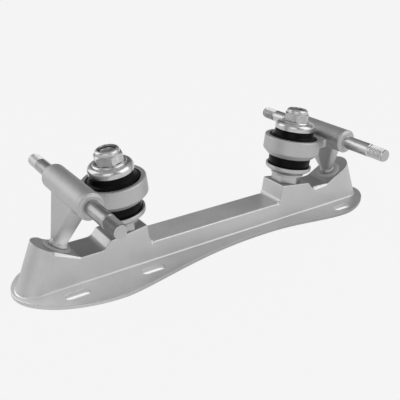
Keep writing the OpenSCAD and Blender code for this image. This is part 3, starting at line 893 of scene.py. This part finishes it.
def threadRidge(bm, start, stop):
    # a helical ridge with its foot sunk in the core, fading out at both ends
    pitch, steps, crest = axle["pitch"], axle["ridgeSteps"], axle["crest"]
    foot = axle["root"] - axle["ridgeSunk"]
    flank, land, heel = (share * pitch for share in axle["ridge"])
    turns = (stop - start) / pitch - 1
    section = [(foot, 0.0), (crest, flank), (crest, land), (foot, heel)]
    points = [bm.verts.new((r * mm, 0, (start + h) * mm)) for r, h in section]
    lines = [bm.edges.new(pair) for pair in zip(points, points[1:])]
    before = set(bm.verts) - set(points)
    bmesh.ops.spin(bm, geom=points + lines, cent=(0, 0, 0), axis=(0, 0, 1), dvec=(0, 0, pitch * mm / steps),
                   angle=fullTurn * turns, steps=round(steps * turns))
    fade = pitch * axle["ridgeFade"]
    for vert in set(bm.verts) - before:
        radius, height = vert.co.xy.length / mm, vert.co.z / mm
        kept = min(1.0, (height - start) / fade, (stop - height) / fade)
        wanted = foot + (radius - foot) * max(0.0, kept)
        vert.co.xy *= wanted / radius


def axleHalf(end, side):
    a = axle
    bm = bmesh.new()
    core = rounded([
        (0, 0, 0), (a["pressRadius"], 0, 0), (a["pressRadius"], a["gripEnd"], 0),
        (a["seatRadius"], a["gripEnd"], 0), (a["seatRadius"], a["seatEnd"], a["edge"]),
        (a["root"], a["seatEnd"] + a["runOut"], a["edge"]),
        (a["root"], a["half"] - a["tipLength"], a["tipRounding"]),
        (a["tipRadius"], a["half"], a["edge"]), (0, a["half"], 0)])
    lathe(bm, core[1:], False)   # without the face at the axle's middle
    threadStart = a["seatEnd"] + a["threadFrom"]
    # painted shade: on one side the thread's core between the ridges is painted almost black, on the other it
    # is painted as lit thread steel
    for face in bm.faces:
        height = face.calc_center_median().z / mm
        if height > a["half"] - a["tipFinish"]:
            face.material_index = extraIndex("machinedSeat")
        elif height > threadStart:
            face.material_index = extraIndex("threadRootShade" if side > 0 else "litThread")
    coreFaces = set(bm.faces)
    threadRidge(bm, threadStart, a["half"] - a["threadShort"])
    # the ridges on one side of the front axle are painted as shaded thread steel, all others as lit thread
    # steel
    for face in set(bm.faces) - coreFaces:
        face.material_index = extraIndex("shadedThread" if end == "front" and side > 0 else "litThread")
    closeUp(bm)
    smoothShade(bm, a["sharpAngle"])
    bm.transform(axlePlace(end, side))
    return scrapMesh(bm)


def makeAxle(end):
    bm = bmesh.new()
    for side in bothSides:
        addMesh(bm, axleHalf(end, side))
    piece = meshPiece(end + "AxleTurning", bm, end + "AxleSteel")
    for extra in axleExtras:
        piece.data.materials.append(finishes[extra])
    seat(piece, end + "_truck", "axle_steel", end + "_axle")


for end in ends:
    makeAxle(end)
print("axles: threads cut")


# Kingpins, seats, retainers and nuts

edges = {"segments": 2, "profile": 0.5, "angle": 28, "normalWeight": 80}
fittings = {   # frame node, width of the broken edges, slot, finish
    "KingpinSeatPart": ("_kingpin_seat", 0.28, "seat_aluminium", "machinedSeat"),
    "LockNutPart": ("_lock_nut", 0.16, "plated_steel", "nutSteel"),
    "KingpinBolt": ("_kingpin", 0.35, "plated_steel", "platedSteel"),
}
retainer = {
    "low": 6.2, "height": 5.6, "radius": 12.5, "dome": 4.9, "domeRounding": 2.6, "footRounding": 0.5,
    "bore": 4.8, "lip": 1.4, "wall": 1.2, "rounding": 0.3,
    "flat": 8.76, "stepOut": 0.7, "stepIn": 0.1, "stepDrop": 0.05,
    "recess": 5.0, "recessInner": 5.8, "recessOuter": 7.7, "recessSlope": 0.1, "recessRounding": 0.08,
    "sharpAngle": 40,
}
insert = {"low": 16.8, "height": 1.6, "outer": 5.55, "bore": 4.80, "rounding": 0.35, "sharpAngle": 40}


def machinedCopy(name, node, width, slot, material):
    # the frame's solid with its flat faces whole and its edges broken
    bm = nodeCopy(node)
    bmesh.ops.dissolve_limit(bm, angle_limit=flatAngle, verts=bm.verts, edges=bm.edges)
    piece = meshPiece(name, bm, material)
    addStep(piece, "broken edges", "BEVEL", width=width * mm, segments=edges["segments"],
            profile=edges["profile"], limit_method="ANGLE", angle_limit=math.radians(edges["angle"]),
            use_clamp_overlap=True, miter_outer="MITER_ARC")
    addStep(piece, "even normals", "WEIGHTED_NORMAL", mode="FACE_AREA", weight=edges["normalWeight"])
    piece.data.shade_smooth()
    seat(piece, "plate", slot, node)


def makeRetainer(end):
    r = retainer
    inner, turn = r["radius"] - r["wall"], r["recessRounding"]
    profile = roundedRing([
        (r["bore"], r["lip"], 0), (inner, r["lip"], r["rounding"]), (inner, 0, r["rounding"]),
        (r["radius"], 0, r["footRounding"]), (r["radius"], r["dome"], r["domeRounding"]),
        (r["flat"] + r["stepOut"], r["dome"] - r["stepDrop"], r["rounding"]),
        (r["flat"] + r["stepIn"], r["height"], r["rounding"]), (r["recessOuter"], r["height"], turn),
        (r["recessOuter"] - r["recessSlope"], r["recess"], turn), (r["recessInner"], r["recess"], turn),
        (r["recessInner"], r["height"], turn), (r["bore"], r["height"], 0)])
    bm = latheTurned(profile, kingpinPlace(end, r["low"]), r["sharpAngle"])
    seat(meshPiece(end + "RetainerDome", bm, "platedSteel"), "plate", "plated_steel", end + "_upper_retainer")


def makeInsert(end):
    i = insert
    profile = roundedRing([
        (i["bore"], i["height"] / 2, 0), (i["bore"], 0, 0), (i["outer"], 0, 0), (i["outer"], i["height"], 0),
        (i["bore"], i["height"], i["rounding"])])
    bm = latheTurned(profile, kingpinPlace(end, i["low"]), i["sharpAngle"])
    seat(meshPiece(end + "NutInsertRing", bm, "nutNylon"), "plate", "nut_nylon", end + "_lock_nut_insert")


for end in ends:
    for part, (node, width, slot, material) in fittings.items():
        machinedCopy(end + part, end + node, width, slot, material)
for makePart in (makeRetainer, makeInsert):
    for end in ends:
        makePart(end)
print("kingpins: seats, retainers and nuts finished")


# Pivot cups and cushions

cup = {
    "depth": 4.8, "flange": 7.8, "thick": 0.8, "flangeEdge": 0.4, "flangeRounding": 0.45,
    "outer": 5.8, "bottom": -5.8, "bottomRounding": 0.6,
    "seat": 4.0, "seatRadius": 2.8, "seatRise": 0.9, "seatRounding": 1.5,
    "mouth": 4.8, "mouthRounding": 0.15, "sharpAngle": 40,
}
cushion = {
    "bore": 5.05, "sharpAngle": 60,
    "lowerLow": -18.8, "lowerHeight": 12.0, "radius": 13.0, "bulge": 0.35, "bulgeSteps": 8,
    "sideLow": 2.0, "sideHigh": 2.6, "edgeFlat": 1.2, "edgeSide": 0.3, "edgeHeight": 0.4,
    "upperLow": -2.2, "upperHeight": 9.8, "foot": 14.2, "footHeight": 3.95, "footRounding": 0.8,
    "neckOut": 0.5, "neckUp": 1.0, "neckRounding": 1.2, "shoulder": 8.1, "top": 12.1, "shoulderRounding": 0.6,
    "pilot": 11.0, "pilotRounding": 0.3,
    "lowerHeld": (2, 3), "upperHeld": (2, 2),   # height at the bottom and at the top
}


def makeCup(end):
    c = cup
    top, floor = c["depth"] + c["thick"], -c["seat"]
    profile = rounded([
        (0, floor, 0), (c["seatRadius"], floor + c["seatRise"], c["seatRounding"]),
        (c["seat"], 0, c["seatRounding"]), (c["mouth"], top, c["mouthRounding"]),
        (c["flange"] - c["flangeEdge"], top, c["flangeRounding"]), (c["flange"], c["depth"], 0),
        (c["outer"], c["depth"], 0), (c["outer"], c["bottom"], c["bottomRounding"]), (0, c["bottom"], 0)])
    bm = latheTurned(profile, pivotPlace(end), c["sharpAngle"], closed=False)
    seat(meshPiece(end + "PivotCupMoulding", bm, "cupPlastic"), "plate", "cup_plastic", end + "_pivot_cup")


def bulged(low, high, radius, swell, steps):
    # side of a squeezed cushion between two heights
    height = high - low
    return [(radius + swell * math.sin(math.pi * i / steps), low + height * i / steps)
            for i in range(steps + 1)]


def cushionPiece(end, level, profile, low):
    bm = latheTurned(profile, kingpinPlace(end, low), cushion["sharpAngle"])
    piece = meshPiece(end + level + "CushionMoulding", bm, "cushionRubber")
    return seat(piece, None, "cushion_rubber", end + "_" + level.lower() + "_cushion")


def makeLowerCushion(end):
    c, h = cushion, cushion["lowerHeight"]
    edge, side = c["radius"] - c["edgeFlat"], c["radius"] - c["edgeSide"]
    profile = [(c["bore"], 0), (edge, 0), (side, c["edgeHeight"])]
    profile += bulged(c["sideLow"], h - c["sideHigh"], c["radius"], c["bulge"], c["bulgeSteps"])
    profile += [(side, h - c["edgeHeight"]), (edge, h), (c["bore"], h)]
    piece = cushionPiece(end, "Lower", profile, c["lowerLow"])
    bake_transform(piece)


def makeUpperCushion(end):
    c, h = cushion, cushion["upperHeight"]
    profile = roundedRing([
        (c["bore"], 0, 0), (c["foot"], 0, c["footRounding"]), (c["foot"], c["footHeight"], c["footRounding"]),
        (c["top"] + c["neckOut"], c["footHeight"] + c["neckUp"], c["neckRounding"]),
        (c["top"], c["shoulder"], c["shoulderRounding"]), (c["pilot"], c["shoulder"], 0),
        (c["pilot"], h, c["pilotRounding"]), (c["bore"], h, 0)])
    piece = cushionPiece(end, "Upper", profile, c["upperLow"])
    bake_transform(piece)


for end in ends:
    makeCup(end)
for end in ends:
    makeLowerCushion(end)
    makeUpperCushion(end)
print("cushions and pivot cups moulded")
